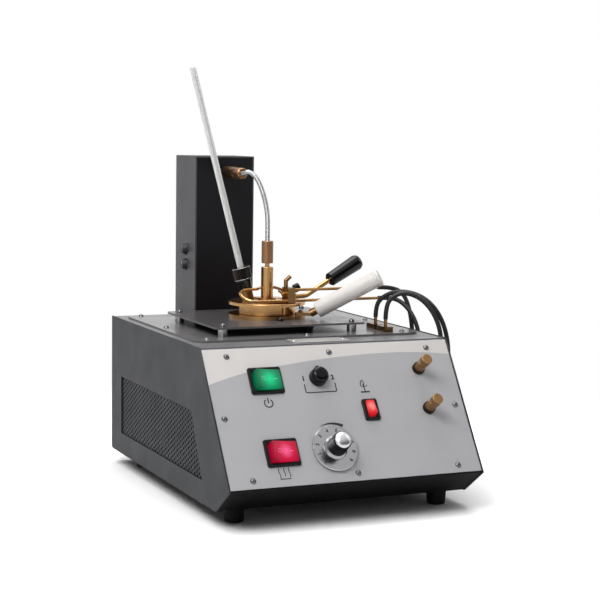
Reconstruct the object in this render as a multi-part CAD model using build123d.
from build123d import *
import math
import os

os.makedirs("parts", exist_ok=True)

# Closed-cup flash point tester for oils and fuels, standing on a bench.
# Millimetres. +X is to the operator's right, the control panel faces -Y, +Z is up.
# The origin lies under the middle of the instrument, on the bench.

# ---------------------------------------------------------------- driving dimensions
# Console
console_width = 260.0
console_depth = 353.0
console_height = 144.4
console_front = -186.0
chin_height = 24.6
chin_setback = 35.3
slope_run = 80.4
sheet = 1.5
lip = 0.6
seam = 0.15
flange = 13.0
frame_width = 18.0
frame_end_gap = 4.5
panel_low_v = 2.4
panel_top_gap = 1.6
top_shell_step = 3.0
foot_height = 14.0
foot_radius = 10.0
foot_side_inset = 24.0
foot_front_inset = 50.0
foot_back_inset = 42.0

# Openings in the rear panel
inlet_inset = 60.0
inlet_z = 60.0
inlet_radius = 3.2
inlet_length = 18.2
inlet_hexagon = 8.0
inlet_hexagon_length = 6.0
mains_inset = 60.0
mains_z = 60.0
mains_width = 27.0
mains_height = 20.0

# Side vents
vent_low = 22.0
vent_high = 84.0
vent_back = 320.0
vent_setback = 64.0
vent_pitch = 7.9
vent_hole = 2.4

# Control panel, u across from the left and v up the slope; a drop is down from the slope's top
green_u = 58.5
green_drop = 36.58
red_u = 58.5
red_v = 35.0
burner_u = 158.4
burner_v = 72.0
selector_u = 111.6
selector_drop = 36.48
dial_u = 111.6
dial_v = 35.0
valve_inset = 40.0
pilot_drop = 32.28
exposure_v = 70.0
screw_edge_u = 25.0
screw_top_drop = 10.0
screw_low_v = 10.0
screw_side_u = 10.3
screw_side_v = 72.0

# Rocker switches: long and short side of each bezel, and the cap that rocks in it
rocker_long = 33.0
rocker_short = 27.0
small_rocker_long = 22.0
small_rocker_short = 15.7
rocker_tilt = 12.0
pivot_depth = 4.5
bezel_height = 2.4
bezel_corner = 2.0
bezel_bevel = 0.8
window_inset = 3.2
cap_end_gap = 0.6
cap_stands = 0.6
cap_skirt = 2.0
cap_side_inset = 3.8
cap_clearance = 0.35
cavity_gap = 0.2
cavity_side_gap = 0.4
housing_inset = 1.5
housing_floor = 4.0
cutout_inset = 1.3
terminal_thickness = 0.8
terminal_width = 6.3
terminal_length = 8.0

# Knobs, dial and what they turn
stem_radius = 3.0
stem_length = 8.0
bush_radius = 4.5
bush_hole = 4.6
bush_stands = 0.2
selector_radius = 8.9
selector_taper = 0.6
selector_height = 10.5
selector_dome = 4.5
selector_lift = 0.4
selector_bore = 7.0
selector_pointer_width = 2.6
selector_pointer_reach = 1.5
selector_pointer_height = 5.0
selector_body_side = 26.0
selector_body_depth = 24.0
dial_radius = 22.5
dial_thickness = 2.0
dial_lift = 0.5
dial_edge_bevel = 0.5
dial_knob_radius = 9.4
dial_knob_taper = 0.5
dial_knob_flare = 2.2
dial_knob_foot = 3.0
dial_knob_height = 24.1
dial_knob_bore = 14.0
dial_cap_radius = 8.2
dial_cap_height = 3.0
dial_cap_stands = 0.5
dial_cap_round = 1.4
regulator_width = 34.0
regulator_length = 38.0
regulator_depth = 22.0
regulator_gap = 0.3
regulator_stem = 14.0
valve_knob_radius = 5.3
valve_length = 22.0
valve_knob_neck = 0.5
valve_groove_depth = 1.1
valve_groove_low = 9.0
valve_groove_width = 1.4
valve_knob_bevel = 0.6
valve_knob_gap = 0.3
valve_collar_radius = 5.9
valve_collar_height = 3.0
valve_collar_bore = 2.2
valve_stem_radius = 2.0
valve_stem_length = 12.0
valve_hexagon = 8.0
valve_hexagon_depth = 12.0
valve_tail_radius = 2.6
valve_tail_length = 10.0
valve_side_tail_offset = 6.0

# Fasteners
screw_shank = 1.5
screw_hole = 1.6
screw_head = 3.0
screw_head_height = 2.0
panel_screw_length = 6.5
deck_screw_length = 5.0
stove_screw_height = 3.0
stove_screw_length = 8.0
tower_screw_head = 1.8
tower_screw_height = 1.1

# Plates on top
deck_width = 240.0
deck_front = -71.0
deck_back = 151.0
deck_thickness = 2.0
deck_corner = 12.0
deck_screw_front_inset = 12.5
deck_screw_back_inset = 8.0
deck_screw_corner_inset = 15.0
deck_screw_side_inset = 8.0
deck_screw_side_y = 40.0
stove_plate_width = 161.0
stove_plate_depth = 148.0
stove_plate_x = -11.5
stove_plate_y = 24.0
stove_plate_thickness = 2.0
stove_plate_corner = 5.0
post_height = 7.5
post_radius = 4.8
post_inset = 11.0
tower_notch = 0.5
inlet_gap = 0.2
tail_hole = 3.1
wire_hole = 12.0
drill = 10.0
stud_bearing = -93.9
stud_gap = 3.5
stud_radius = 3.2
stud_rim = 1.0

# Test cup, to the standard closed-cup size
cup_x = -7.5
cup_y = 27.0
cup_bore = 25.4
cup_wall = 1.6
cup_depth = 55.9
cup_floor = 2.4
cup_flange_radius = 39.7
cup_flange_thickness = 3.2
cup_rim_height = 9.8
fill_depth = 21.8

# Air bath round the cup, its heater and the insulation
bath_gap = 4.5
bath_radius = 48.0
bath_floor = 7.5
heater_inset = 4.0
heater_thickness = 6.0
insulation_wall = 9.8
insulation_floor = 12.0
insulation_gap = 0.2
insulation_top_gap = 2.0
bath_clearance = 1.5

# Lid
lid_radius = 39.5
lid_thickness = 3.1
skirt_wall = 2.4
skirt_gap = 0.6
fit = 0.08
rub = 0.1
press_gap = 0.02
shutter_radius = 27.5
shutter_thickness = 1.6
shutter_turn = 36.0
shutter_hub_wall = 3.2
shutter_hub_height = 3.4
shutter_notch_half_angle = 25.0
window_radius = 4.6
side_window_radius = 4.0
window_distance = 16.2
front_window = -59.6
right_window = 40.0
left_window = -132.0
lid_edge_round = 1.0
lid_pin_radius = 1.3
lid_pin_bearing = -77.4
lid_pin_gap = 0.1
column_radius = 6.25
column_height = 35.0
column_thread = 4.5
column_thread_hole = 4.55
column_nut_radius = 8.0
column_nut_height = 3.1
stirrer_running = 0.06
stirrer_radius = 2.4
coupling_radius = 6.0
coupling_length = 22.8
neck_length = 3.8
shaft_rise = 3.0
shaft_in_coupling = 9.0
flex_in_coupling = 8.0
set_screw_drop = 4.5
set_screw_bearing = -105.0
set_screw_radius = 1.45
set_screw_hole = 1.5
set_screw_length = 2.2
edge_chamfer = 0.5
large_propeller = 19.0
large_chord = 8.0
small_propeller = 9.6
small_chord = 6.0
low_propeller_rise = 7.0
high_propeller_drop = 14.9
propeller_hub = 4.6
hub_length = 7.0
blade_thickness = 1.6
thermometer_radius = 3.3
thermometer_length = 287.0
thermometer_below = 42.0
thermometer_end_round = 2.2
thermometer_tilt = 14.0
thermometer_bearing = 162.4
thermometer_offset = 19.0
socket_radius = 6.3
socket_height = 12.5
collar_radius = 7.6
collar_step = 0.5
collar_height = 10.0
nut_radius = 9.3
nut_height = 12.5
nut_groove_pitch = 1.62
sleeve_radius = 4.7
sleeve_drop = 1.0
spigot_radius = 4.98
spigot_depth = 2.6
spigot_hole = 5.05

# Gas parts on the lid
tube_radius = 1.5
block_left = 2.2
block_width = 8.2
block_front = -5.0
block_depth = 15.0
block_foot_depth = 4.2
block_height = 15.6
low_tube_y = -3.0
low_tube_rise = 2.5
high_tube_y = 2.0
high_tube_rise = 13.1
low_tube_end = 105.3
high_tube_end = 107.6
tube_fit = 0.05
tube_seat_depth = 4.0
loop_left = -42.7
loop_turn_y = 20.0
loop_bend = 13.0
loop_rise = 9.8
loop_end_x = 5.4
loop_end_rise = 11.0
loop_end_depth = 2.5
block_gap = 0.8
block_foot_height = 4.0
dip_pivot_setback = 9.0
dip_pivot_rise = 9.0
dip_radius = 1.2
dip_axle_length = 6.5
dip_axle_reach = 2.9
dip_hub_radius = 2.1
dip_hub_length = 2.4
dip_arm_offset = 1.5
dip_arm_length = 11.0
dip_arm_rise = 10.0
jet_inset = 2.9
jet_setback = 12.3
jet_seat = 3.0
jet_seat_gap = 0.1
jet_radius = 2.2
jet_length = 9.4
jet_tip_radius = 2.1
jet_tip_length = 6.5
jet_tip_rise = 42.0
thumb_setback = 13.6
thumb_rise = 11.2
thumb_slope = 24.0
thumb_reach = 5.2
thumb_seat = 2.6
thumb_hole_depth = 3.0
thumb_radius = 4.4
thumb_stem = 1.0
thumb_length = 5.4
thumb_groove_pitch = 1.15

# Handles
rod_bearing = 10.0
rod_radius = 2.5
rod_bend_at = 48.0
rod_start = 26.1
rod_rise = 2.8
rod_bend_radius = 16.0
rod_slope = 27.0
rod_rise_length = 34.0
rod_boss_start = 21.6
rod_boss_width = 7.5
rod_boss_height = 6.5
rod_boss_length = 12.0
grip_length = 42.0
grip_small = 7.3
grip_large = 8.5
grip_small_bevel = 1.0
grip_end_round = 3.0
handle_radius = 8.5
handle_length = 73.0
handle_slope = 29.1
handle_bearing = -31.2
handle_x = 33.0
handle_y = -9.0
handle_rise = 5.8
handle_round = 1.2
lug_width = 13.0
lug_thickness = 3.0
lug_corner = 2.0
lug_root_overlap = 7.5
lug_tip_gap = 4.0
lug_skirt_gap = 0.5
stub_radius = 4.0
stub_length = 7.5
lug_screw_head = 2.6
lug_screw_height = 2.2
lug_screw_inset = 3.2

# Motor tower
tower_width = 66.0
tower_depth = 63.0
tower_x = -26.0
tower_front = 102.0
tower_height = 173.9
tower_sheet = 1.5
tower_screw_setback = 54.8
tower_screw_high_drop = 49.6
tower_screw_low_drop = 141.7
drive_drop = 16.5
drive_socket_radius = 6.1
drive_socket_length = 33.0
motor_radius = 13.5
motor_length = 46.0
motor_boss_radius = 6.0
motor_boss_length = 4.0
drive_shaft_radius = 2.5
drive_shaft_depth = 10.0
drive_shaft_length = 26.0
socket_gap = 0.6
socket_end_gap = 0.7
drive_nut_radius = 6.4
drive_nut_length = 17.0
flex_radius = 2.6
nut_corner_cut = 0.4
nut_bevel = 1.2
knob_setback = 28.0
tower_knob_radius = 6.4
tower_knob_tip = 4.4
tower_knob_length = 4.6
tower_knob_gap = 0.5
tower_stem = 3.4
tower_knob_hole = 3.6
tower_corner = 2.0
tower_plate_gap = 0.1
drive_hole = 3.2
control_radius = 6.0
control_length = 12.0
knob_high_drop = 99.3
knob_low_drop = 115.8

# Hoses
hose_radius = 2.3
fitting_width = 9.0
fitting_depth = 20.0
fitting_height = 5.0
fitting_tube_radius = 1.75
fitting_tail = 14.0
fitting_tail_radius = 3.0
fitting_x = 89.5
fitting_tube_x = 87.2
fitting_back_y = -28.0
fitting_front_y = -50.5
fitting_tube_setback = 6.5
fitting_tube_top = 12.6

# Inside the console, and the small plate on it
board_width = 60.0
board_depth = 110.0
board_thickness = 1.6
board_side_gap = 15.0
board_y = 20.0
standoff_radius = 2.5
standoff_height = 6.0
standoff_inset = 4.0
standoff_end_inset = 5.0
supply_width = 34.0
supply_depth = 40.0
supply_height = 30.0
supply_x_shift = -7.0
supply_y_shift = 20.0
data_plate_width = 61.0
data_plate_depth = 26.0
data_plate_thickness = 0.8
data_plate_corner = 4.0
data_plate_setback = 15.0
mains_body_depth = 28.0
mains_flange = 9.0
mains_rim = 3.0
mains_rim_thickness = 2.5
mains_wall = 2.5
mains_mouth_depth = 15.0
mains_pin = 4.0
mains_pin_thickness = 2.0
mains_pin_length = 12.0
mains_pin_pitch = 6.5

# ---------------------------------------------------------------- worked out from those
half_width = console_width / 2
underside = foot_height
console_top = underside + console_height
console_back = console_front + console_depth
panel_run = console_height - chin_height
slope = math.atan2(panel_run, slope_run)
panel_length = math.hypot(panel_run, slope_run)
panel_out = (0, -math.sin(slope), math.cos(slope))
panel = Plane(origin=(-half_width, console_front, underside + chin_height),
              x_dir=(1, 0, 0), z_dir=panel_out)
panel_face = -lip
panel_back = panel_face - sheet
frame_back = panel_back - seam - sheet
foot_x = half_width - foot_side_inset
foot_front_y = console_front + foot_front_inset
foot_back_y = console_back - foot_back_inset
green_v = panel_length - green_drop
selector_v = panel_length - selector_drop
pilot_v = panel_length - pilot_drop
valve_u = console_width - valve_inset
top_face = console_top - lip
deck_top = top_face + deck_thickness
post_top = deck_top + post_height
stove_top = post_top + stove_plate_thickness
flange_top = stove_top + cup_flange_thickness
handle_z = flange_top + handle_rise
cup_top = flange_top + cup_rim_height
cup_radius = cup_bore + cup_wall
cup_inside = cup_top - cup_depth
cup_bottom = cup_inside - cup_floor
lid_top = cup_top + lid_thickness
shutter_low = lid_top + rub
shutter_top = shutter_low + shutter_thickness
column_top = lid_top + column_height
coupling_low = column_top + neck_length
coupling_top = coupling_low + coupling_length
tower_left = tower_x - tower_width / 2
tower_top = top_face + tower_height
drive_z = tower_top - drive_drop
knob_y = tower_front + knob_setback
knob_high_z = tower_top - knob_high_drop
knob_low_z = tower_top - knob_low_drop
bath_bore = cup_radius + bath_gap
bath_bottom = cup_bottom - bath_gap - bath_floor
inlet_x = half_width - inlet_inset
mains_x = mains_inset - half_width
print("deck top", deck_top, "stove top", stove_top, "lid top", lid_top, "coupling top", coupling_top)


# ---------------------------------------------------------------- helpers
def save(node, *pieces):
    """Write one node, as one solid or as a group of separate solids."""
    solids = [solid for piece in pieces for solid in piece.solids()]
    shape = solids[0] if len(solids) == 1 else Compound(solids)
    export_step(shape, f"parts/{node}.step")


def rod(radius, length):
    return Cylinder(radius, length, align=(Align.CENTER, Align.CENTER, Align.MIN))


def pipe(radius, bore, length):
    return rod(radius, length) - rod(bore, length)


def slab(x_size, y_size, z_size):
    return Box(x_size, y_size, z_size, align=(Align.CENTER, Align.CENTER, Align.MIN))


def on_panel(u, v, height=0.0):
    return panel.location * Pos(u, v, height)


def along(start, direction):
    """A place whose +Z points along direction."""
    return Plane(origin=start, z_dir=direction).location


def bearing(angle, distance, height):
    """A point at a distance from the cup's axis, at an angle from +X."""
    turn = math.radians(angle)
    return (cup_x + distance * math.cos(turn), cup_y + distance * math.sin(turn), height)


def aimed(angle, rise):
    """A unit direction with a bearing and a slope, both in degrees."""
    turn, lift = math.radians(angle), math.radians(rise)
    flat = math.cos(lift)
    return (flat * math.cos(turn), flat * math.sin(turn), math.sin(lift))


def further(start, direction, distance):
    return tuple(s + distance * d for s, d in zip(start, direction))


def bent_rod(points, bends, radius, bore=0.0):
    """A rod or tube along straight runs joined by tangent arcs."""
    path = FilletPolyline(*points, radius=bends)
    start = Plane(origin=path @ 0, z_dir=path % 0)
    solid = sweep(start * Circle(radius), path=path)
    if bore:
        solid -= sweep(start * Circle(bore), path=path)
    return solid


def cord(name, points, radius, bore=0.0):
    """A hose or a flexible shaft: each arc is as large as its two runs allow."""
    corners = [Vector(*point) for point in points]
    runs = [after - before for before, after in zip(corners, corners[1:])]
    bends = []
    for before, after in zip(runs, runs[1:]):
        half_turn = math.radians(before.get_angle(after)) / 2
        bends.append(0.45 * min(before.length, after.length) / math.tan(half_turn))
    solid = bent_rod(points, bends, radius, bore)
    path = FilletPolyline(*points, radius=bends)
    section = math.pi * (radius ** 2 - bore ** 2)
    print(name, "radii", [round(bend, 1) for bend in bends], "length", round(path.length, 1),
          "volume ratio", round(solid.volume / (section * path.length), 4))
    return solid


def pan_head(radius, height):
    """A domed screw head, standing on Z = 0, with a cross recess."""
    ball = (radius ** 2 + height ** 2) / (2 * height)
    dome = Pos(0, 0, height - ball) * Sphere(ball) & slab(3 * radius, 3 * radius, height)
    arm = 0.25 * radius
    cross = slab(radius, arm, height) + slab(arm, radius, height)
    return dome - Pos(0, 0, 0.6 * height) * cross


def screw(radius, height, shank, length):
    return pan_head(radius, height) + Pos(0, 0, -length) * rod(shank, length)


def knurled(radius, length, pitch):
    """A round knob with fine grooves cut along it, about one pitch apart round its edge."""
    grooves = round(2 * math.pi * radius / pitch)
    nick = Pos(0, 0, -1) * Rot(0, 0, 45) * slab(0.08 * radius, 0.08 * radius, length + 2)
    return rod(radius, length) - [place * nick for place in PolarLocations(radius, grooves).locations]


# ---------------------------------------------------------------- console shells
def side_outline(inset):
    """The console seen from the side, in Y and Z, moved inwards by an inset."""
    corners = [
        (console_front + chin_setback, underside),
        (console_front, underside + chin_height),
        (console_front + slope_run, console_top),
        (console_back, console_top),
        (console_back, underside),
    ]
    face = make_face(Polyline(*corners, close=True))
    return offset(face, amount=-inset, kind=Kind.INTERSECTION) if inset else face


def zone(y_low, y_high, z_low, z_high):
    return Pos((y_low + y_high) / 2, (z_low + z_high) / 2) * Rectangle(y_high - y_low, z_high - z_low)


def slope_zone(v_low, v_high, depth):
    """A band that follows the slope of the panel, between two heights along it."""
    place = Pos(console_front, underside + chin_height) * Rot(0, 0, math.degrees(slope))
    return place * Pos((v_low + v_high) / 2, 0) * Rectangle(v_high - v_low, 2 * depth)


def across(section, x_low, x_high):
    """A section in Y and Z carried across from one X to another."""
    return extrude(Plane.YZ.offset(x_low) * section, x_high - x_low)


inner_left = -half_width + sheet + seam
inner_right = -inner_left
skin = side_outline(lip) - side_outline(lip + sheet)


def vent_centres():
    """Staggered hole centres in Y and Z, inside the four-sided vent."""
    row_step = vent_pitch * math.sin(math.radians(60))
    rows = int((vent_high - vent_low - 2 * vent_hole) / row_step) + 1
    centres = []
    for row in range(rows):
        height = vent_low + vent_hole + row * row_step
        first = vent_setback + (height - chin_height) / math.tan(slope) + vent_hole
        count = int((vent_back - first) / vent_pitch)
        shift = vent_pitch / 2 if row % 2 else 0.0
        for column in range(count):
            distance = vent_back - vent_hole - shift - column * vent_pitch
            centres.append((console_front + distance, underside + height))
    return centres


def side_panel(side):
    """Side plate with its vent holes and a folded flange along the top, back and bottom."""
    plate_x = side * half_width if side < 0 else half_width - sheet
    plane = Plane.YZ.offset(plate_x)
    outer = (plane * side_outline(0)).face().outer_wire()
    holes = [(plane * (Pos(*centre) * Circle(vent_hole))).face().outer_wire() for centre in vent_centres()]
    plate = Solid.extrude(Face(outer, holes), Vector(sheet, 0, 0))
    fold_inset = lip + sheet + seam
    fold = side_outline(fold_inset) - side_outline(fold_inset + sheet)
    fold -= slope_zone(-2 * chin_setback, panel_length + frame_width, 2 * frame_width)
    root = -half_width + sheet if side < 0 else half_width - sheet - flange
    return Part() + plate + across(fold, root, root + flange)


def panel_hole(u, v, width, height):
    return on_panel(u, v, -3 * sheet) * slab(width, height, 6 * sheet)


def panel_bore(u, v, radius):
    return on_panel(u, v, -3 * sheet) * rod(radius, 6 * sheet)


def screw_spots():
    high = panel_length - screw_top_drop
    right = console_width
    return [
        (screw_edge_u, high), (right / 2, high), (right - screw_edge_u, high),
        (screw_side_u, screw_side_v), (right - screw_side_u, screw_side_v),
        (screw_edge_u, screw_low_v), (right / 2, screw_low_v), (right - screw_edge_u, screw_low_v),
    ]


front_section = skin & slope_zone(panel_low_v, panel_length - panel_top_gap, 2 * sheet)
front_panel = across(front_section, inner_left, inner_right)


# ---------------------------------------------------------------- rocker switches


def rocker_sizes(width, length):
    """Window, cavity radius, cap radius and cap width of a switch whose long side is length."""
    window = length - 2 * window_inset
    cavity = math.hypot(window / 2, pivot_depth + bezel_height) + cavity_gap
    return window, cavity, cavity - cap_clearance, width - 2 * cap_side_inset


def switch_body(width, length):
    """Bezel and housing, with a round-bottomed cavity for the rocker; long side along X."""
    _, cavity, _, cap_width = rocker_sizes(width, length)
    bezel = slab(length, width, bezel_height)
    bezel = fillet(bezel.edges().filter_by(Axis.Z), bezel_corner)
    bezel = chamfer(bezel.faces().sort_by(Axis.Z)[-1].edges(), bezel_bevel)
    depth = cavity + pivot_depth + housing_floor
    body = Pos(0, 0, -depth) * slab(length - 2 * housing_inset, width - 2 * housing_inset, depth)
    hollow = Pos(0, 0, -pivot_depth) * Rot(90, 0, 0) * Cylinder(cavity, cap_width + 2 * cavity_side_gap)
    terminal = slab(terminal_thickness, terminal_width, terminal_length)
    tabs = [Pos(x, 0, -depth - terminal_length) * terminal for x in (-length / 4, 0, length / 4)]
    return bezel + body + tabs - hollow


def rocker(width, length):
    """The lit cap that rocks about Y through its pivot, drawn level; pivot at the origin."""
    window, _, radius, cap_width = rocker_sizes(width, length)
    face_height = pivot_depth + bezel_height + cap_stands
    half = window / 2 - cap_end_gap
    rise = half * math.tan(math.radians(rocker_tilt))
    profile = make_face(Polyline((-half, -cap_skirt), (half, -cap_skirt), (half, face_height + rise),
                                 (0, face_height), (-half, face_height + rise), close=True))
    wedge = extrude(Plane.XZ * profile, cap_width / 2, both=True)
    round_limit = Rot(90, 0, 0) * Cylinder(radius, cap_width)
    return wedge & round_limit


def switch_turn(long_side_up):
    return Rot(0, 0, 90) if long_side_up else Rot(0, 0, 0)


switches = {
    "power": (green_u, green_v, rocker_short, rocker_long, False),
    "heat": (red_u, red_v, rocker_short, rocker_long, False),
    "burner": (burner_u, burner_v, small_rocker_short, small_rocker_long, True),
}


def switch_place(u, v, long_side_up):
    return on_panel(u, v, panel_face) * switch_turn(long_side_up)


def build_switches():
    housings = []
    for name, (u, v, width, length, upright) in switches.items():
        place = switch_place(u, v, upright)
        housings.append(place * switch_body(width, length))
        pivot = place * Pos(0, 0, -pivot_depth) * Rot(0, rocker_tilt, 0)
        save(f"{name}_rocker", pivot * rocker(width, length))
    save("switch_housings", *housings)


# ---------------------------------------------------------------- knobs and dial


def selector_knob():
    """Domed black knob with a small pointer."""
    body = Pos(0, 0, selector_lift) * Cone(selector_radius, selector_radius - selector_taper, selector_height,
                                           align=(Align.CENTER, Align.CENTER, Align.MIN))
    body = fillet(body.faces().sort_by(Axis.Z)[-1].edges(), selector_dome)
    pointer_length = selector_radius / 2
    pointer_middle = selector_radius + selector_pointer_reach - pointer_length / 2
    pointer = Pos(0, pointer_middle, selector_lift) * slab(
        selector_pointer_width, pointer_length, selector_pointer_height)
    return body + pointer - rod(stem_radius + press_gap, selector_bore)


def selector_body():
    """Rotary switch behind the panel, with its threaded bush and stem."""
    body = Pos(0, 0, panel_back - selector_body_depth) * slab(
        selector_body_side, selector_body_side, selector_body_depth)
    bush = Pos(0, 0, panel_back) * rod(bush_radius, sheet + bush_stands)
    stem = Pos(0, 0, panel_back) * rod(stem_radius, stem_length)
    return body + bush + stem


def dial():
    """Flat round scale that turns with the knob."""
    plate = Pos(0, 0, dial_lift) * rod(dial_radius, dial_thickness)
    plate = chamfer(plate.faces().sort_by(Axis.Z)[-1].edges(), dial_edge_bevel)
    return plate - rod(stem_radius + press_gap, 2 * dial_thickness)


def dial_knob():
    """Straight knob with a low flared foot, pressed on the same stem."""
    low = dial_lift + dial_thickness
    high = dial_knob_height - dial_cap_height
    foot = dial_knob_radius + dial_knob_flare
    profile = Polyline((0, low), (foot, low), (foot, low + dial_knob_foot / 3),
                       (dial_knob_radius, low + dial_knob_foot), (dial_knob_radius - dial_knob_taper, high),
                       (0, high), close=True)
    body = revolve(Plane.XZ * make_face(profile), Axis.Z)
    return body - rod(stem_radius + press_gap, dial_knob_bore)


def dial_cap():
    """Bright cap let into the knob's front."""
    low = dial_knob_height - dial_cap_height
    cap = Pos(0, 0, low) * rod(dial_cap_radius, dial_cap_height + dial_cap_stands)
    return fillet(cap.faces().sort_by(Axis.Z)[-1].edges(), dial_cap_round)


def power_regulator():
    """Energy regulator behind the dial, clear of the frame behind the panel."""
    low = frame_back - regulator_gap
    body = Pos(0, 0, low - regulator_depth) * slab(regulator_width, regulator_length, regulator_depth)
    bush = Pos(0, 0, low) * rod(bush_radius, panel_face - low + bush_stands)
    stem = Pos(0, 0, low) * rod(stem_radius, regulator_stem)
    return body + bush + stem


def valve_body():
    """Needle valve behind the panel: hexagon, bush, round locking collar and two hose tails."""
    low = panel_back
    hexagon_low = low - valve_hexagon_depth
    hexagon = Pos(0, 0, hexagon_low) * extrude(RegularPolygon(valve_hexagon, 6), valve_hexagon_depth)
    bush = Pos(0, 0, low) * rod(bush_radius, sheet + bush_stands)
    collar = Pos(0, 0, panel_face) * pipe(valve_collar_radius, valve_collar_bore, valve_collar_height)
    stem = Pos(0, 0, low) * rod(valve_stem_radius, valve_stem_length)
    tail = Pos(0, 0, hexagon_low - valve_tail_length) * rod(valve_tail_radius, valve_tail_length)
    side_tail = Pos(0, valve_side_tail_offset, low - valve_hexagon_depth / 2) * Rot(-90, 0, 0) * rod(
        valve_tail_radius, valve_tail_length)
    return hexagon + bush + collar + stem + tail + side_tail


def valve_knob():
    """Brass knob with a groove that sets its wider end apart."""
    low = panel_face + valve_collar_height + valve_knob_gap
    high = valve_length
    neck = valve_knob_radius - valve_knob_neck
    groove = valve_knob_radius - valve_groove_depth
    wide = valve_knob_radius
    groove_low = high - valve_groove_low
    groove_high = groove_low + valve_groove_width
    side = 0.3 * valve_groove_width
    profile = Polyline((0, low), (neck, low), (neck, groove_low), (groove, groove_low + side),
                       (groove, groove_high - side), (wide, groove_high), (wide, high - valve_knob_bevel),
                       (wide - valve_knob_bevel, high), (0, high), close=True)
    knob = revolve(Plane.XZ * make_face(profile), Axis.Z)
    stem_end = panel_back + valve_stem_length
    bore_length = stem_end - low + 2 * bush_stands
    return knob - Pos(0, 0, low) * rod(valve_stem_radius + press_gap, bore_length)


def build_controls():
    place = on_panel(selector_u, selector_v)
    save("selector_knob", place * selector_knob())
    save("selector_switch", place * selector_body())
    place = on_panel(dial_u, dial_v)
    save("dial", place * dial())
    save("dial_knob", place * dial_knob(), place * dial_cap())
    save("power_regulator", place * power_regulator())
    valves = []
    for name, v in (("pilot", pilot_v), ("exposure", exposure_v)):
        valves.append(on_panel(valve_u, v) * valve_body())
        save(f"{name}_valve_knob", on_panel(valve_u, v) * valve_knob())
    save("gas_valves", *valves)


# ---------------------------------------------------------------- console build
deck_corner_x = deck_width / 2 - deck_screw_corner_inset
deck_side_x = deck_width / 2 - deck_screw_side_inset
deck_front_y = deck_front + deck_screw_front_inset
deck_back_y = deck_back - deck_screw_back_inset
deck_holes = [
    (-deck_corner_x, deck_front_y), (0.0, deck_front_y), (deck_corner_x, deck_front_y),
    (-deck_side_x, deck_screw_side_y), (deck_side_x, deck_screw_side_y),
    (-deck_corner_x, deck_back_y), (deck_corner_x, deck_back_y),
]


def build_console():
    cuts = []
    for u, v, width, length, upright in switches.values():
        sides = (length - 2 * cutout_inset, width - 2 * cutout_inset)
        cuts.append(panel_hole(u, v, *(reversed(sides) if upright else sides)))
    cuts += [panel_bore(u, v, bush_hole) for u, v in ((selector_u, selector_v), (dial_u, dial_v),
                                                      (valve_u, pilot_v), (valve_u, exposure_v))]
    shanks = [panel_bore(u, v, screw_hole) for u, v in screw_spots()]

    frame_across = console_width - 2 * (sheet + seam)
    frame_length = panel_length - 2 * frame_end_gap
    frame_middle = Pos(console_width / 2, panel_length / 2, frame_back)
    frame_plate = frame_middle * slab(frame_across, frame_length, sheet)
    window = frame_middle * slab(frame_across - 2 * frame_width, frame_length - 2 * frame_width, sheet)
    frame = panel.location * (frame_plate - window)
    save("front_panel", front_panel - cuts - shanks, frame - shanks)

    for name, side in (("left", -1), ("right", 1)):
        save(f"{name}_side_panel", side_panel(side))

    back_inset = lip + sheet + seam
    top_section = skin & zone(console_front + slope_run + panel_top_gap, console_back - back_inset,
                              console_top - top_shell_step, console_top)
    top_shell = across(top_section, inner_left, inner_right)
    start = console_top - drill / 2
    stove_hole = Pos(cup_x, cup_y, start) * rod(bath_radius + bath_clearance, drill)
    tower_hole = Pos(tower_x, tower_front + tower_depth / 2, start) * rod(wire_hole, drill)
    tails = [Pos(fitting_tube_x, y - fitting_tube_setback, start) * rod(tail_hole, drill)
             for y in (fitting_back_y, fitting_front_y)]
    drilled = [Pos(x, y, start) * rod(screw_hole, drill) for x, y in deck_holes]
    save("top_shell", top_shell - stove_hole - tower_hole - tails - drilled)

    ahead = console_front - 1
    floor_zone = zone(ahead, console_back - back_inset, underside, underside + chin_height / 2)
    chin_zone = zone(ahead, console_front + chin_setback, underside, underside + 1.2 * chin_height)
    base_section = skin & (floor_zone + chin_zone)
    base_section -= slope_zone(panel_low_v - seam, panel_length, 2 * sheet)
    base_pan = across(base_section, inner_left, inner_right)
    save("base_pan", base_pan)

    rear_section = skin & zone(console_back - lip - sheet, console_back, underside + lip, console_top)
    rear = across(rear_section, inner_left, inner_right)
    inlet_hole = Pos(inlet_x, console_back + drill / 2, inlet_z) * Rot(90, 0, 0) * rod(bush_hole, drill)
    mains_hole = Pos(mains_x, console_back, mains_z) * Box(
        mains_width + 2 * inlet_gap, drill, mains_height + 2 * inlet_gap)
    save("rear_panel", rear - inlet_hole - mains_hole)


def foot_spots():
    return [(x, y) for x in (-foot_x, foot_x) for y in (foot_front_y, foot_back_y)]


def build_feet():
    base_face = underside + lip
    feet = []
    for x, y in foot_spots():
        body = Pos(x, y, 0) * Cone(foot_radius - 1.0, foot_radius, base_face,
                                   align=(Align.CENTER, Align.CENTER, Align.MIN))
        feet.append(fillet(body.faces().sort_by(Axis.Z)[0].edges(), 1.2))
    save("feet", *feet)


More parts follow.
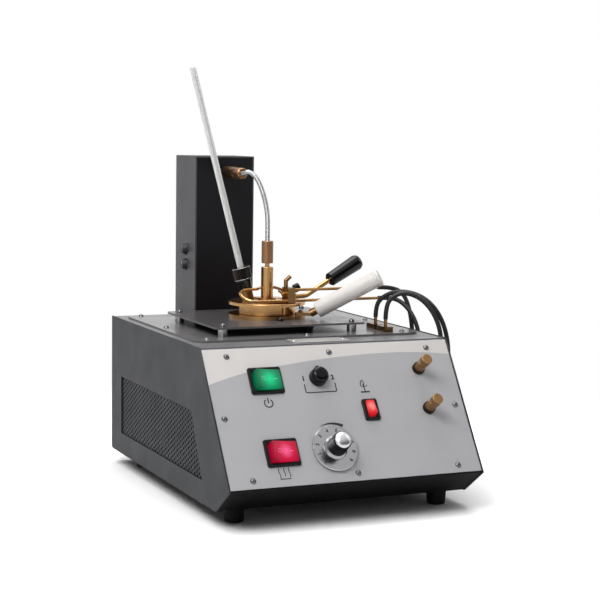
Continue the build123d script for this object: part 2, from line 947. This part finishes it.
def build_screws():
    """Every cross-head screw of the covers: panel, deck, stove plate and tower."""
    panel_screw = screw(screw_head, screw_head_height, screw_shank, panel_screw_length)
    deck_screw = screw(screw_head, screw_head_height, screw_shank, deck_screw_length)
    stove_screw = screw(screw_head, stove_screw_height, screw_shank, stove_screw_length)
    tower_screw = pan_head(tower_screw_head, tower_screw_height)
    heads = [on_panel(u, v, panel_face) * panel_screw for u, v in screw_spots()]
    heads += [Pos(x, y, deck_top) * deck_screw for x, y in deck_holes]
    heads += [Pos(x, y, stove_top) * stove_screw for x, y in stove_corners()]
    for side_x, turn in ((tower_left, -90), (tower_left + tower_width, 90)):
        for drop in (tower_screw_high_drop, tower_screw_low_drop):
            spot = Pos(side_x, tower_front + tower_screw_setback, tower_top - drop)
            heads.append(spot * Rot(0, turn, 0) * tower_screw)
    save("cover_screws", *heads)


# ---------------------------------------------------------------- deck, stove plate, stove
def deck():
    depth = deck_back - deck_front
    plate = Pos(0, (deck_front + deck_back) / 2, top_face) * slab(deck_width, depth, deck_thickness)
    plate = fillet(plate.edges().filter_by(Axis.Z), deck_corner)
    notch_depth = deck_back - tower_front + tower_notch + 1
    notch = Pos(tower_x, tower_front - tower_notch + notch_depth / 2, top_face) * slab(
        tower_width + 2 * tower_notch, notch_depth, deck_thickness)
    stove_hole = Pos(cup_x, cup_y, top_face) * rod(bath_radius + bath_clearance, deck_thickness)
    tails = [Pos(fitting_tube_x, y - fitting_tube_setback, top_face) * rod(tail_hole, deck_thickness)
             for y in (fitting_back_y, fitting_front_y)]
    drilled = [Pos(x, y, top_face) * rod(screw_hole, deck_thickness) for x, y in deck_holes]
    return plate - notch - stove_hole - tails - drilled


def stove_corners():
    x_reach = stove_plate_width / 2 - post_inset
    y_reach = stove_plate_depth / 2 - post_inset
    return [(stove_plate_x + i * x_reach, stove_plate_y + j * y_reach) for i in (-1, 1) for j in (-1, 1)]


def build_deck():
    save("deck_plate", deck())
    plate = Pos(stove_plate_x, stove_plate_y, post_top) * slab(stove_plate_width, stove_plate_depth,
                                                               stove_plate_thickness)
    plate = fillet(plate.edges().filter_by(Axis.Z), stove_plate_corner)
    plate -= Pos(cup_x, cup_y, post_top) * rod(bath_bore, stove_plate_thickness)
    plate -= [Pos(x, y, post_top) * rod(screw_hole, stove_plate_thickness) for x, y in stove_corners()]
    stud_place = Pos(*bearing(stud_bearing, cup_flange_radius + stud_gap, stove_top))
    shank = Pos(0, 0, -stove_plate_thickness) * rod(screw_shank, stove_plate_thickness)
    plate -= stud_place * Pos(0, 0, -stove_plate_thickness) * rod(screw_hole, stove_plate_thickness)
    save("stove_plate", plate)
    dome = Sphere(stud_radius) & slab(3 * stud_radius, 3 * stud_radius, stud_radius)
    stud = stud_place * (rod(stud_radius, stud_rim) + Pos(0, 0, stud_rim) * dome + shank)
    posts = [Pos(x, y, deck_top) * pipe(post_radius, screw_hole, post_height) for x, y in stove_corners()]
    save("stove_posts", *posts, stud)


def build_stove():
    block = Pos(cup_x, cup_y, bath_bottom) * rod(bath_radius, post_top - bath_bottom)
    block -= Pos(cup_x, cup_y, bath_bottom + bath_floor) * rod(bath_bore, post_top)
    heater_low = bath_bottom - heater_thickness
    heater = Pos(cup_x, cup_y, heater_low) * rod(bath_radius - heater_inset, heater_thickness)
    save("air_bath", block, heater)
    hollow_radius = bath_radius + insulation_gap
    insulation_low = heater_low - insulation_floor
    insulation_top = top_face - sheet - insulation_top_gap
    insulation = Pos(cup_x, cup_y, insulation_low) * rod(
        hollow_radius + insulation_wall, insulation_top - insulation_low)
    insulation -= Pos(cup_x, cup_y, heater_low) * rod(hollow_radius, console_height)
    save("stove_insulation", insulation)


# ---------------------------------------------------------------- cup
def lug_points():
    """Where the cup's lug leaves the flange and where it meets the handle."""
    root = (cup_x, cup_y, flange_top - cup_flange_thickness / 2)
    axis = aimed(handle_bearing, handle_slope)
    tip = (handle_x, handle_y, handle_z)
    return root, tip, axis


def build_cup():
    floor = Pos(cup_x, cup_y, cup_bottom)
    body = floor * rod(cup_radius, cup_top - cup_bottom)
    body += Pos(cup_x, cup_y, stove_top) * rod(cup_flange_radius, cup_flange_thickness)
    body -= Pos(cup_x, cup_y, cup_inside) * rod(cup_bore, cup_depth + 1)
    mark = Pos(cup_x, cup_y, cup_top - fill_depth) * (rod(cup_bore + 0.5, 1.0) - rod(cup_bore - 1, 1.0))
    save("cup", body - mark)

    root, tip, axis = lug_points()
    lug_bearing = math.degrees(math.atan2(tip[1] - cup_y, tip[0] - cup_x))
    reach = math.hypot(tip[0] - cup_x, tip[1] - cup_y)
    inner = cup_flange_radius - lug_root_overlap
    outer = reach - lug_tip_gap
    middle = Pos(cup_x, cup_y, flange_top) * Rot(0, 0, lug_bearing) * Pos((inner + outer) / 2, 0, 0)
    tongue = middle * slab(outer - inner, lug_width, lug_thickness)
    tongue = fillet(tongue.edges().filter_by(Axis.Z), lug_corner)
    tongue -= Pos(cup_x, cup_y, flange_top) * rod(skirt_outer() + lug_skirt_gap, 2 * lug_thickness)
    stub = along(further(tip, axis, -stub_length), axis) * rod(stub_radius, stub_length)
    screw_x, screw_y, _ = bearing(lug_bearing, cup_flange_radius - lug_screw_inset, 0)
    lug_screw = Pos(screw_x, screw_y, flange_top + lug_thickness) * pan_head(lug_screw_head, lug_screw_height)
    save("cup_lug", tongue + stub, lug_screw)

    handle = along(tip, axis) * rod(handle_radius, handle_length)
    ends = handle.edges().filter_by(GeomType.CIRCLE)
    save("cup_handle", fillet(ends, handle_round))


def skirt_outer():
    return cup_radius + fit + skirt_wall


# ---------------------------------------------------------------- lid and what it carries
thermometer_axis = aimed(thermometer_bearing, 90.0 - thermometer_tilt)
thermometer_foot = bearing(thermometer_bearing, thermometer_offset, lid_top)


def windows(height, thickness, turn):
    """The three windows of lid and shutter, turned about the cup's axis."""
    spots = [(front_window, window_radius), (right_window, side_window_radius),
             (left_window, side_window_radius)]
    return [Pos(*bearing(angle + turn, window_distance, height)) * rod(radius, thickness)
            for angle, radius in spots]


def build_lid():
    through = lid_thickness + 2
    plate = Pos(cup_x, cup_y, cup_top) * rod(lid_radius, lid_thickness)
    plate = fillet(plate.faces().sort_by(Axis.Z)[-1].edges(), lid_edge_round)
    skirt_low = flange_top + skirt_gap
    skirt = Pos(cup_x, cup_y, skirt_low) * pipe(skirt_outer(), cup_radius + fit, cup_top - skirt_low)
    lid = plate + skirt
    lid -= Pos(cup_x, cup_y, cup_top - 1) * rod(column_thread_hole, through)
    lid -= windows(cup_top - 1, through, 0.0)
    hole_start = further(thermometer_foot, thermometer_axis, -3 * spigot_depth)
    lid -= along(hole_start, thermometer_axis) * rod(spigot_hole, 6 * spigot_depth)
    pin_x, pin_y, _ = bearing(lid_pin_bearing, skirt_outer() + lid_pin_radius + lid_pin_gap, 0)
    pin_low = flange_top + 2 * skirt_gap
    save("lid", lid, Pos(pin_x, pin_y, pin_low) * rod(lid_pin_radius, cup_top - pin_low))
    save("shutter", shutter())


def shutter_notch(hub_radius):
    """The open sector that lets the shutter turn past the thermometer's socket."""
    start = math.radians(thermometer_bearing - shutter_turn - shutter_notch_half_angle)
    end = math.radians(thermometer_bearing + shutter_notch_half_angle)
    reach = 2 * shutter_radius
    first = (reach * math.cos(start), reach * math.sin(start))
    last = (reach * math.cos(end), reach * math.sin(end))
    arc = CenterArc((0, 0), reach, math.degrees(start), math.degrees(end - start))
    sector = make_face([Line((0, 0), first), arc, Line(last, (0, 0))])
    return extrude(sector, 2 * shutter_thickness) - rod(hub_radius, 2 * shutter_thickness)


def shutter():
    """Round plate on the column's foot, with three windows and a boss for the bent rod."""
    hub_radius = column_radius + shutter_hub_wall
    place = Pos(cup_x, cup_y, shutter_low)
    below = Pos(cup_x, cup_y, shutter_low - 1)
    plate = place * (rod(shutter_radius, shutter_thickness) + rod(hub_radius, shutter_hub_height))
    plate -= below * rod(column_radius + fit, 2 * shutter_hub_height)
    plate -= windows(shutter_low - 1, 2 * shutter_hub_height, -shutter_turn)
    plate -= below * shutter_notch(hub_radius + 2 * rub)
    outwards = aimed(rod_bearing, 0)
    boss_root = bearing(rod_bearing, rod_boss_start, rod_height())
    boss = along(boss_root, outwards) * slab(rod_boss_width, rod_boss_height, rod_boss_length)
    boss &= Pos(cup_x, cup_y, shutter_low + rub) * rod(2 * shutter_radius, rod_boss_length)
    rod_hole = rod(rod_radius + press_gap, rod_boss_length)
    return plate + boss - along(bearing(rod_bearing, rod_start - rub, rod_height()), outwards) * rod_hole


def rod_height():
    return lid_top + rod_rise


def build_shutter_handle():
    start = bearing(rod_bearing, rod_start, rod_height())
    bend = bearing(rod_bearing, rod_bend_at, rod_height())
    up = aimed(rod_bearing, rod_slope)
    end = further(bend, up, rod_rise_length)
    save("shutter_rod", bent_rod([start, bend, end], [rod_bend_radius], rod_radius))
    shoulder = grip_length - grip_end_round
    profile = Polyline((0, 0), (grip_small - grip_small_bevel, 0), (grip_small, grip_small_bevel),
                       (grip_large, shoulder - 1), (grip_large - 0.4 * grip_end_round, shoulder + 2),
                       (grip_large - grip_end_round, grip_length), (0, grip_length), close=True)
    save("shutter_grip", along(end, up) * revolve(Plane.XZ * make_face(profile), Axis.Z))


def build_column():
    place = Pos(cup_x, cup_y, lid_top)
    column = place * rod(column_radius, column_height)
    spigot_length = lid_thickness + 3.4
    column += Pos(cup_x, cup_y, lid_top - spigot_length) * rod(column_thread, spigot_length)
    column -= Pos(cup_x, cup_y, lid_top - spigot_length) * rod(
        stirrer_radius + stirrer_running, spigot_length + column_height)
    nut_place = Pos(cup_x, cup_y, cup_top - column_nut_height - rub)
    nut = nut_place * extrude(RegularPolygon(column_nut_radius, 6), column_nut_height)
    nut -= nut_place * rod(column_thread_hole, column_nut_height)
    save("stirrer_column", chamfer(column.faces().sort_by(Axis.Z)[-1].edges(), 0.5), nut)

    low_end = cup_inside + shaft_rise
    shaft = Pos(cup_x, cup_y, low_end) * rod(stirrer_radius, coupling_low + shaft_in_coupling - low_end)
    save("stirrer_shaft", shaft)
    coupling = Pos(cup_x, cup_y, coupling_low) * rod(coupling_radius, coupling_length)
    coupling = chamfer(coupling.edges().filter_by(GeomType.CIRCLE), edge_chamfer)
    coupling -= Pos(cup_x, cup_y, coupling_low) * rod(stirrer_radius + press_gap, shaft_in_coupling)
    coupling -= Pos(cup_x, cup_y, coupling_top - flex_in_coupling) * rod(flex_radius + fit, flex_in_coupling)
    set_root = (cup_x, cup_y, coupling_top - set_screw_drop)
    set_axis = aimed(set_screw_bearing, 0)
    set_hole = along(set_root, set_axis) * rod(set_screw_hole, 2 * coupling_radius)
    set_screw = along(further(set_root, set_axis, flex_radius + 0.4), set_axis) * rod(
        set_screw_radius, set_screw_length)
    save("drive_coupling", coupling - set_hole, set_screw)
    save("propellers", propeller(cup_inside + low_propeller_rise, large_propeller, large_chord),
         propeller(cup_top - high_propeller_drop, small_propeller, small_chord))


def propeller(height, reach, chord):
    """Hub and two flat blades set at 45 degrees."""
    hub = Pos(0, 0, -hub_length / 2) * pipe(propeller_hub, stirrer_radius + press_gap, hub_length)
    root = propeller_hub - 1.0
    blade = Pos((reach + root) / 2, 0, 0) * Rot(45, 0, 0) * Box(reach - root, chord, blade_thickness)
    blades = blade + Rot(0, 0, 180) * blade
    return Pos(cup_x, cup_y, height) * (hub + blades)


def build_thermometer():
    axis = thermometer_axis
    foot = thermometer_foot
    tip = further(foot, axis, -thermometer_below)
    stem = along(tip, axis) * rod(thermometer_radius, thermometer_length)
    ends = stem.edges().filter_by(GeomType.CIRCLE)
    save("thermometer", fillet(ends, thermometer_end_round))
    clear = thermometer_radius + rub
    below = along(further(foot, axis, -spigot_depth), axis)
    above_lid = Pos(cup_x, cup_y, lid_top) * slab(3 * lid_radius, 3 * lid_radius, lid_radius)
    socket = below * rod(socket_radius, spigot_depth + socket_height) & above_lid
    socket += below * rod(spigot_radius, 2 * spigot_depth)
    socket -= below * Pos(0, 0, -spigot_depth) * rod(clear, 4 * spigot_depth + socket_height)
    collar_place = along(further(foot, axis, socket_height), axis)
    collar = collar_place * Cone(socket_radius + collar_step, collar_radius, collar_height,
                                 align=(Align.CENTER, Align.CENTER, Align.MIN))
    collar += collar_place * rod(sleeve_radius, collar_height + nut_height - sleeve_drop)
    collar -= collar_place * rod(clear, collar_height + nut_height)
    save("thermometer_socket", socket, collar)
    nut_low = further(foot, axis, socket_height + collar_height + rub)
    nut_bore = sleeve_radius + rub
    nut = knurled(nut_radius, nut_height, nut_groove_pitch) - rod(nut_bore, nut_height)
    save("thermometer_nut", along(nut_low, axis) * nut)


# ---------------------------------------------------------------- gas parts on the lid
low_tube_z = lid_top + low_tube_rise
high_tube_z = lid_top + high_tube_rise
block_top = lid_top + block_height
block_right = block_left + block_width
block_back = block_front + block_depth
block_mid_x = block_left + block_width / 2
dip_pivot = (block_left, block_front + dip_pivot_setback, lid_top + dip_pivot_rise)
loop_end_z = lid_top + loop_end_rise
jet_x = block_left + jet_inset
jet_y = block_front + jet_setback
thumb_root = (block_right, block_front + thumb_setback, lid_top + thumb_rise)
thumb_axis = aimed(0.0, thumb_slope)


def gas_block():
    """Block that carries the tubes; only its front foot touches the lid, clear of the shutter."""
    foot = Pos(block_mid_x, block_front + block_foot_depth / 2, lid_top) * slab(
        block_width, block_foot_depth, block_foot_height)
    body_low = shutter_top + block_gap
    body = Pos(block_mid_x, block_front + block_depth / 2, body_low) * slab(
        block_width, block_depth, block_top - body_low)
    seat = tube_radius + tube_fit
    sideways = Rot(0, 90, 0)
    block = foot + body
    block -= Pos(0, low_tube_y, low_tube_z) * sideways * Cylinder(seat, 6 * block_width)
    block -= Pos(block_right, high_tube_y, high_tube_z) * sideways * Cylinder(seat, 2 * tube_seat_depth)
    block -= Pos(loop_end_x, block_back, loop_end_z) * Rot(90, 0, 0) * Cylinder(seat, 1.5 * tube_seat_depth)
    block -= Pos(*dip_pivot) * sideways * Cylinder(dip_radius + fit, 2 * tube_seat_depth)
    block -= Pos(jet_x, jet_y, block_top - jet_seat) * rod(jet_radius + tube_fit, 2 * jet_seat)
    block -= along(further(thumb_root, thumb_axis, -thumb_hole_depth), thumb_axis) * rod(
        thumb_stem + fit, 3 * thumb_hole_depth)
    return block


def gas_loop_tube():
    """Lower tube: straight through the block, round the stirrer column and back into the block."""
    front = low_tube_z
    back = front + loop_rise
    points = [
        (low_tube_end, low_tube_y, front), (loop_left, low_tube_y, front), (loop_left, loop_turn_y, back),
        (-18.5, 26.5, back), (-11.0, 38.0, back), (3.0, 36.0, back + 0.8),
        (loop_end_x + 0.6, 22.0, back - 0.4),
        (loop_end_x, 14.5, loop_end_z), (loop_end_x, block_back - loop_end_depth, loop_end_z),
    ]
    return bent_rod(points, [loop_bend, loop_bend, 9.0, 7.0, 6.0, 5.0, 2.5], tube_radius)


def pilot_jet():
    """Small upright tube with a bent tip."""
    low = block_top - jet_seat + jet_seat_gap
    elbow = (jet_x, jet_y, low + jet_length)
    jet = Pos(jet_x, jet_y, low) * rod(jet_radius, jet_length)
    jet += along(elbow, aimed(0.0, jet_tip_rise)) * rod(jet_tip_radius, jet_tip_length)
    return jet + Pos(*elbow) * Sphere(jet_radius)


def flame_dipper():
    """Axle in the block with a hub and a thin burner tube that swings down to the window."""
    pivot_x, pivot_y, pivot_z = dip_pivot
    sideways = Rot(0, 90, 0)
    axle = Pos(pivot_x - dip_axle_reach, pivot_y, pivot_z) * sideways * rod(dip_radius, dip_axle_length)
    middle = (pivot_x - dip_arm_offset, pivot_y, pivot_z)
    arm = along(middle, aimed(90.0, dip_arm_rise)) * rod(dip_radius, dip_arm_length)
    return axle + arm + Pos(*middle) * sideways * Cylinder(dip_hub_radius, dip_hub_length)


def build_gas_parts():
    save("gas_block", gas_block())
    start = (block_right - tube_seat_depth + tube_fit, high_tube_y, high_tube_z)
    high = along(start, (1, 0, 0)) * rod(tube_radius, high_tube_end - start[0])
    save("gas_tubes", gas_loop_tube(), high)
    save("pilot_jet", pilot_jet())
    save("flame_dipper", flame_dipper())
    stem_root = along(further(thumb_root, thumb_axis, -thumb_seat), thumb_axis)
    thumb = stem_root * rod(thumb_stem, thumb_seat + thumb_reach)
    thumb += stem_root * Pos(0, 0, thumb_seat + thumb_reach) * knurled(
        thumb_radius, thumb_length, thumb_groove_pitch)
    save("thumb_screw", thumb)


# ---------------------------------------------------------------- motor tower and drive
def build_tower():
    low = top_face
    height = tower_top - low
    middle_y = tower_front + tower_depth / 2
    outer = Pos(tower_x, middle_y, low) * slab(tower_width, tower_depth, height)
    inner = Pos(tower_x, middle_y - sheet, low) * slab(
        tower_width - 2 * tower_sheet, tower_depth, height - tower_sheet)
    shell = outer - inner
    shell = fillet(shell.edges().filter_by(Axis.Z).sort_by(Axis.Y)[-2:], tower_corner)
    knob_holes = [Pos(tower_left, knob_y, z) * Rot(0, 90, 0) * Cylinder(tower_knob_hole, drill)
                  for z in (knob_high_z, knob_low_z)]
    save("tower_shell", shell - knob_holes)
    plate = Pos(tower_x, tower_front + sheet / 2, low + tower_plate_gap) * slab(
        tower_width - 2 * (tower_sheet + tower_plate_gap), sheet, height - tower_sheet - 2 * tower_plate_gap)
    plate -= Pos(tower_x, tower_front, drive_z) * Rot(90, 0, 0) * Cylinder(drive_hole, drill)
    save("tower_front", plate)
    motor_face = tower_front + sheet
    backwards = Rot(-90, 0, 0)
    forwards = Rot(90, 0, 0)
    motor_place = Pos(tower_x, motor_face, drive_z)
    motor = motor_place * backwards * (rod(motor_radius, motor_length) + Pos(0, 0, motor_length) * rod(
        motor_boss_radius, motor_boss_length))
    motor -= motor_place * backwards * rod(drive_shaft_radius + fit, drive_shaft_depth + 1)
    save("stirrer_motor", motor)
    shaft = Pos(tower_x, motor_face + drive_shaft_depth, drive_z) * forwards * rod(
        drive_shaft_radius, drive_shaft_length)
    socket_back = tower_front - socket_gap
    shaft_reach = drive_shaft_length - drive_shaft_depth - sheet - socket_gap + socket_end_gap
    socket = Pos(tower_x, socket_back, drive_z) * forwards * (
        rod(drive_socket_radius, drive_socket_length) - rod(drive_shaft_radius + press_gap, shaft_reach)
        - Pos(0, 0, drive_socket_length - flex_in_coupling) * rod(flex_radius + fit, flex_in_coupling))
    nut_back = socket_back - drive_socket_length
    nut = extrude(RegularPolygon(drive_nut_radius, 6), drive_nut_length)
    nut &= chamfer(rod(drive_nut_radius - nut_corner_cut, drive_nut_length).edges().filter_by(
        GeomType.CIRCLE).sort_by(Axis.Z)[-1], nut_bevel)
    nut -= rod(flex_radius + fit, drive_nut_length)
    save("drive_socket", shaft, socket, Pos(tower_x, nut_back, drive_z) * forwards * nut)
    controls = []
    for name, z in (("speed", knob_high_z), ("ramp", knob_low_z)):
        inside = Pos(tower_left + tower_sheet, knob_y, z) * Rot(0, 90, 0)
        outside = Pos(tower_left - tower_knob_gap, knob_y, z) * Rot(0, -90, 0)
        stem = outside * Pos(0, 0, -tower_knob_gap - tower_sheet) * rod(
            stem_radius, tower_knob_gap + tower_sheet + tower_stem)
        controls.append(inside * rod(control_radius, control_length) + stem)
        knob = Cone(tower_knob_radius, tower_knob_tip, tower_knob_length,
                    align=(Align.CENTER, Align.CENTER, Align.MIN))
        save(f"{name}_knob", outside * (knob - rod(stem_radius + press_gap, tower_stem + rub)))
    save("speed_controls", *controls)


flex_points = [
    (tower_x, tower_front - drive_socket_length - drive_nut_length + 2.4, drive_z),
    (tower_x, 42.0, drive_z), (-22.0, 32.8, drive_z - 8.6), (-15.5, 28.6, drive_z - 23.7),
    (-9.8, 27.2, drive_z - 41.2), (cup_x, cup_y, coupling_top + 9.0), (cup_x, cup_y, coupling_top - 7.6),
]


# ---------------------------------------------------------------- hoses and their fittings
def build_fittings():
    fittings = []
    for y in (fitting_back_y, fitting_front_y):
        tube_y = y - fitting_tube_setback
        block = Pos(fitting_x, y, deck_top) * slab(fitting_width, fitting_depth, fitting_height)
        tube = Pos(fitting_tube_x, tube_y, deck_top) * rod(fitting_tube_radius, fitting_tube_top)
        tail = Pos(fitting_tube_x, tube_y, deck_top - fitting_tail) * rod(fitting_tail_radius, fitting_tail)
        fittings.append(block + tube + tail)
    save("hose_fittings", *fittings)


tube_mouth = deck_top + fitting_tube_top
hose_back_points = [
    (fitting_tube_x, fitting_back_y - fitting_tube_setback, tube_mouth),
    (fitting_tube_x, -34.5, 182.5), (91.2, -37.4, 191.8), (102.0, -46.5, 199.5),
    (116.5, -61.0, 199.0), (129.0, -73.5, 190.0), (138.5, -81.0, 173.8), (144.0, -85.2, 151.0),
    (145.0, -84.5, 125.0), (143.5, -73.0, 101.5), (141.5, -55.0, 90.5), (139.8, -36.0, 97.0),
    (139.0, -24.0, 115.5), (139.0, -19.5, 138.0), (138.8, -16.0, 161.0), (137.0, -11.5, 180.0),
    (132.6, -4.6, 194.0), (120.6, high_tube_y, high_tube_z), (high_tube_end, high_tube_y, high_tube_z),
]
hose_front_points = [
    (fitting_tube_x, fitting_front_y - fitting_tube_setback, tube_mouth),
    (fitting_tube_x, -57.0, 183.5), (91.6, -58.5, 194.3), (103.0, -63.5, 200.0),
    (117.0, -70.5, 195.8), (126.8, -79.0, 184.4), (132.8, -85.0, 168.8), (135.4, -87.6, 150.0),
    (135.8, -85.0, 131.5), (136.8, -75.0, 116.0), (137.6, -62.5, 108.5), (138.0, -49.0, 109.0),
    (138.2, -38.5, 117.5), (138.5, -35.0, 132.0), (138.8, -33.5, 147.5), (137.7, -28.5, 163.0),
    (134.0, -19.0, 176.5), (127.5, -8.5, 185.5), (118.0, low_tube_y, low_tube_z),
    (low_tube_end, low_tube_y, low_tube_z),
]


def build_cords():
    save("flexible_shaft", cord("flexible shaft", flex_points, flex_radius))
    save("back_hose", cord("back hose", hose_back_points, hose_radius))
    save("front_hose", cord("front hose", hose_front_points, hose_radius))


# ---------------------------------------------------------------- inlets, plate, board


def gas_inlet():
    """Hexagon outside the rear panel, its plain hose tail and the threaded end inside."""
    hexagon = extrude(RegularPolygon(inlet_hexagon, 6), inlet_hexagon_length)
    tail = Pos(0, 0, inlet_hexagon_length) * rod(inlet_radius, inlet_length)
    thread = Pos(0, 0, -2 * inlet_hexagon_length) * rod(bush_radius, 2 * inlet_hexagon_length)
    return Pos(inlet_x, console_back - lip, inlet_z) * Rot(-90, 0, 0) * (hexagon + tail + thread)


def mains_inlet():
    """Square socket for a mains lead, with two fixing ears and three pins."""
    place = Pos(mains_x, console_back - lip, mains_z)
    body = Pos(0, -mains_body_depth / 2, 0) * Box(mains_width, mains_body_depth, mains_height)
    rim = Pos(0, mains_rim_thickness / 2, 0) * Box(
        mains_width + 2 * mains_flange, mains_rim_thickness, mains_height + 2 * mains_rim)
    mouth = Pos(0, (mains_rim_thickness - mains_mouth_depth) / 2, 0) * Box(
        mains_width - 2 * mains_wall, mains_rim_thickness + mains_mouth_depth, mains_height - 2 * mains_wall)
    spots = [(-mains_pin_pitch, -1.5), (0.0, 2.5), (mains_pin_pitch, -1.5)]
    pin = Rot(-90, 0, 0) * slab(mains_pin, mains_pin_thickness, mains_pin_length)
    pins = [Pos(x, -mains_mouth_depth, z) * pin for x, z in spots]
    return place * (body + rim - mouth + pins)


def data_plate():
    plate = Pos(0, deck_front - data_plate_setback, top_face) * slab(
        data_plate_width, data_plate_depth, data_plate_thickness)
    return chamfer(plate.edges().filter_by(Axis.Z), data_plate_corner)


def control_board():
    """Circuit board on four standoffs, with one block in place of its power supply."""
    base = underside + lip + sheet
    board_x = board_side_gap + board_width / 2 - half_width
    board_low = base + standoff_height
    board = Pos(board_x, board_y, board_low) * slab(board_width, board_depth, board_thickness)
    reach_x = board_width / 2 - standoff_inset
    reach_y = board_depth / 2 - standoff_end_inset
    board += [Pos(board_x + i * reach_x, board_y + j * reach_y, base) * rod(standoff_radius, standoff_height)
              for i in (-1, 1) for j in (-1, 1)]
    board += Pos(board_x + supply_x_shift, board_y + supply_y_shift, board_low + board_thickness) * slab(
        supply_width, supply_depth, supply_height)
    return board


def build_small_parts():
    save("gas_inlet", gas_inlet())
    save("mains_inlet", mains_inlet())
    save("data_plate", data_plate())
    save("control_board", control_board())


build_console()
build_feet()
build_screws()
build_switches()
build_controls()
build_deck()
build_stove()
build_cup()
build_lid()
build_shutter_handle()
build_column()
build_thermometer()
build_gas_parts()
build_tower()
build_cords()
build_fittings()
build_small_parts()
